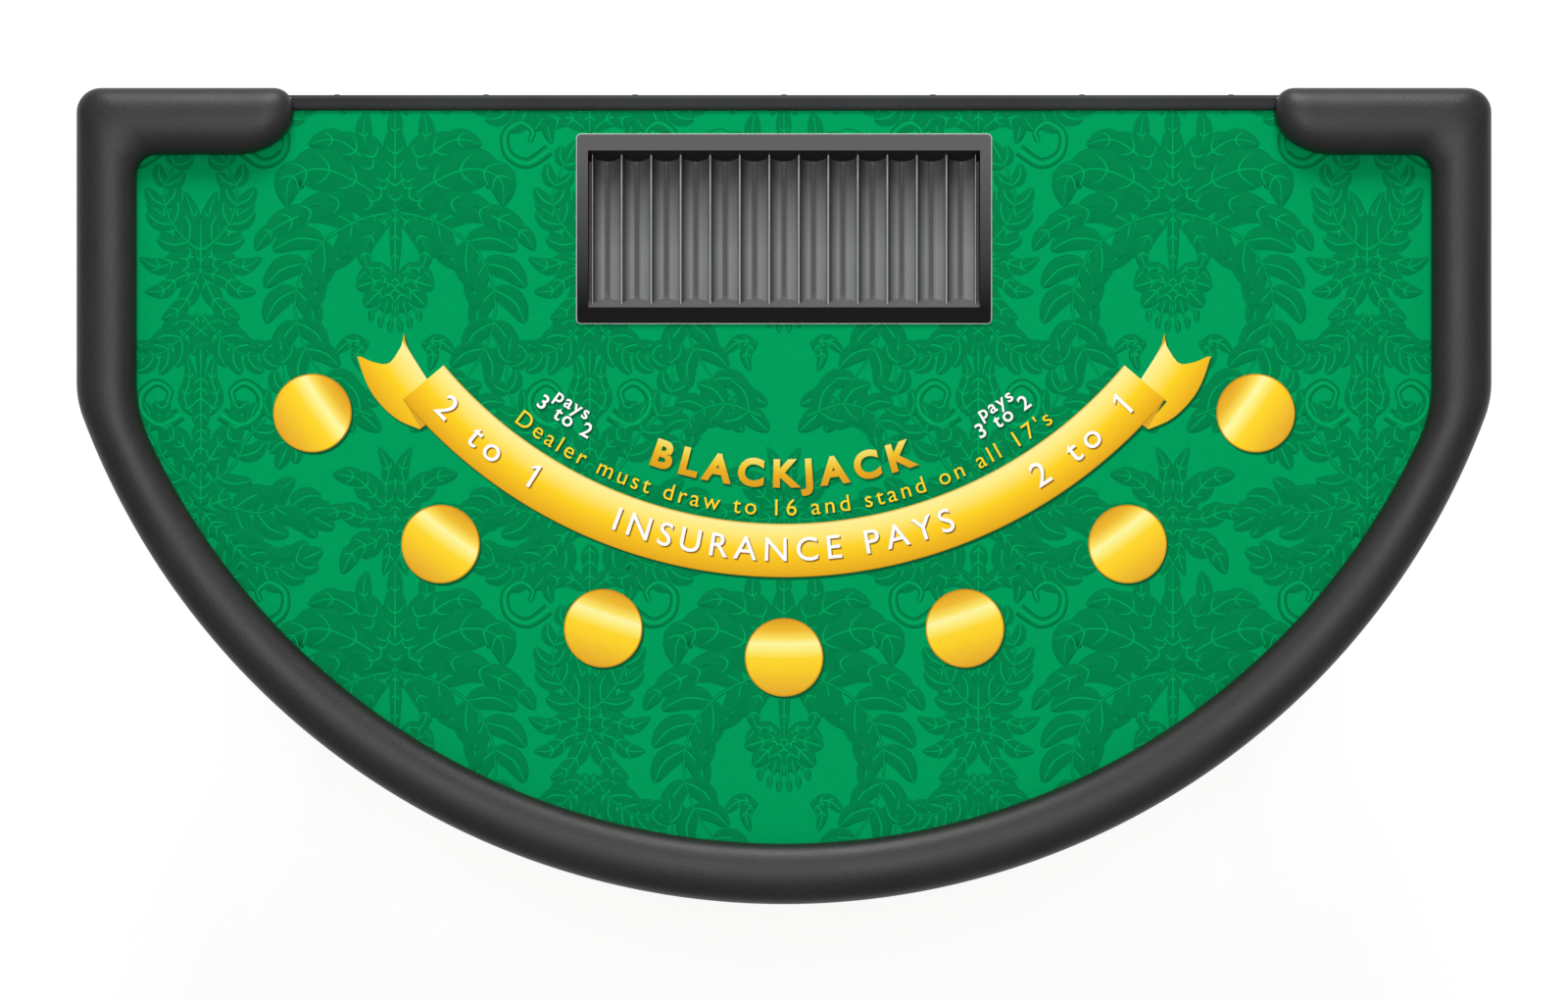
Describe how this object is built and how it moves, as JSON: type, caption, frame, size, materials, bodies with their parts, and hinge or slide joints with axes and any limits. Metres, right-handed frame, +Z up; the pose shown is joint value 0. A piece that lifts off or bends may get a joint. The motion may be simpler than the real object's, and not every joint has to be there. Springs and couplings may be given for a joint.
{
  "type": "blackjack table",
  "caption": "D-shaped blackjack table with a padded black armrest, printed green layout cloth, lift-out chip tray and folding steel leg frames.",
  "frame": {"origin": "on the floor, at the centre of the footprint", "axes": "+X to the dealer's left, along the table's width; +Y to the dealer's straight edge; +Z up from the floor"},
  "size_m": [2.08, 1.2, 0.806],
  "materials": {
    "plywood": "unfinished birch plywood",
    "underlay": "closed-cell foam sheet",
    "layout": "printed woven polyester cloth, damask ground",
    "foam": "open-cell upholstery foam",
    "vinyl": "black grained vinyl upholstery, semi-matt",
    "trim": "satin black powder coat",
    "zinc": "bright zinc plate",
    "board": "dark stained wood, satin lacquer",
    "softwood": "planed softwood",
    "bezel": "graphite powder coat, satin",
    "bezel_edge": "bright bare edge",
    "pan": "graphite powder coat, satin",
    "tubes": "satin grey",
    "frame_steel": "black powder coat, fine texture",
    "plug": "moulded black plastic",
    "rubber": "moulded black rubber"
  },
  "bodies": {
    "table_top": {"deck": "plywood", "underlay": "underlay", "layout_cloth": "layout", "rail_base": "plywood", "rail_foam": "foam", "rail_cover": "vinyl", "rail_bolts": "zinc", "rail_washers": "zinc", "dealer_trim": "trim", "trim_screws": "trim", "apron_back": "board", "apron_left": "board", "apron_right": "board", "apron_front_left": "board", "apron_front_centre": "board", "apron_front_right": "board", "apron_blocks": "softwood", "well_frame": "softwood", "left_hinge_blocks": "frame_steel", "left_bracket_screws": "zinc", "left_stay_bracket": "zinc", "left_stay_top_pin": "zinc", "right_hinge_blocks": "frame_steel", "right_bracket_screws": "zinc", "right_stay_bracket": "zinc", "right_stay_top_pin": "zinc"},
    "chip_tray": {"tray_bezel": "bezel", "tray_bezel_lip": "bezel_edge", "tray_pan": "pan", "chip_tubes": "tubes", "tray_end_front": "pan", "tray_end_back": "pan"},
    "left_leg_frame": {"left_hinge_tube": "frame_steel", "left_front_post": "frame_steel", "left_back_post": "frame_steel", "left_stay_bar": "frame_steel", "left_foot_bar": "frame_steel", "left_tube_plugs": "plug", "left_feet": "rubber", "left_stay_lug": "frame_steel", "left_stay_bottom_pin": "zinc"},
    "left_upper_link": {"left_upper_stay": "zinc", "left_elbow_rivet": "zinc"},
    "left_lower_link": {"left_lower_stay": "zinc"},
    "right_leg_frame": {"right_hinge_tube": "frame_steel", "right_front_post": "frame_steel", "right_back_post": "frame_steel", "right_stay_bar": "frame_steel", "right_foot_bar": "frame_steel", "right_tube_plugs": "plug", "right_feet": "rubber", "right_stay_lug": "frame_steel", "right_stay_bottom_pin": "zinc"},
    "right_upper_link": {"right_upper_stay": "zinc", "right_elbow_rivet": "zinc"},
    "right_lower_link": {"right_lower_stay": "zinc"}
  },
  "joints": [
    {"name": "tray_lift", "type": "slide", "parent": "table_top", "child": "chip_tray", "axis": [0, 0, 1], "range_m": [0, 0.12]},
    {"name": "left_leg_fold", "type": "hinge", "parent": "table_top", "child": "left_leg_frame", "pos_m": [-0.715, 0.11, 0.698], "axis": [0, -1, 0], "range_deg": [0, 90]},
    {"name": "left_upper_stay_fold", "type": "hinge", "parent": "table_top", "child": "left_upper_link", "pos_m": [-0.495, 0.11, 0.72], "axis": [0, 1, 0], "range_deg": [0, 46.96]},
    {"name": "left_lower_stay_fold", "type": "hinge", "parent": "left_leg_frame", "child": "left_lower_link", "pos_m": [-0.693, 0.11, 0.508], "axis": [0, -1, 0], "range_deg": [0, 43.04]},
    {"name": "right_leg_fold", "type": "hinge", "parent": "table_top", "child": "right_leg_frame", "pos_m": [0.715, 0.11, 0.698], "axis": [0, 1, 0], "range_deg": [0, 90]},
    {"name": "right_upper_stay_fold", "type": "hinge", "parent": "table_top", "child": "right_upper_link", "pos_m": [0.495, 0.11, 0.72], "axis": [0, -1, 0], "range_deg": [0, 46.96]},
    {"name": "right_lower_stay_fold", "type": "hinge", "parent": "right_leg_frame", "child": "right_lower_link", "pos_m": [0.693, 0.11, 0.508], "axis": [0, 1, 0], "range_deg": [0, 43.04]}
  ],
  "couplings": [
    {"joint": "left_upper_stay_fold", "follows": "left_leg_fold", "ratio": 0.52173},
    {"joint": "left_lower_stay_fold", "follows": "left_leg_fold", "ratio": 0.47827},
    {"joint": "right_upper_stay_fold", "follows": "right_leg_fold", "ratio": 0.52173},
    {"joint": "right_lower_stay_fold", "follows": "right_leg_fold", "ratio": 0.47827}
  ]
}
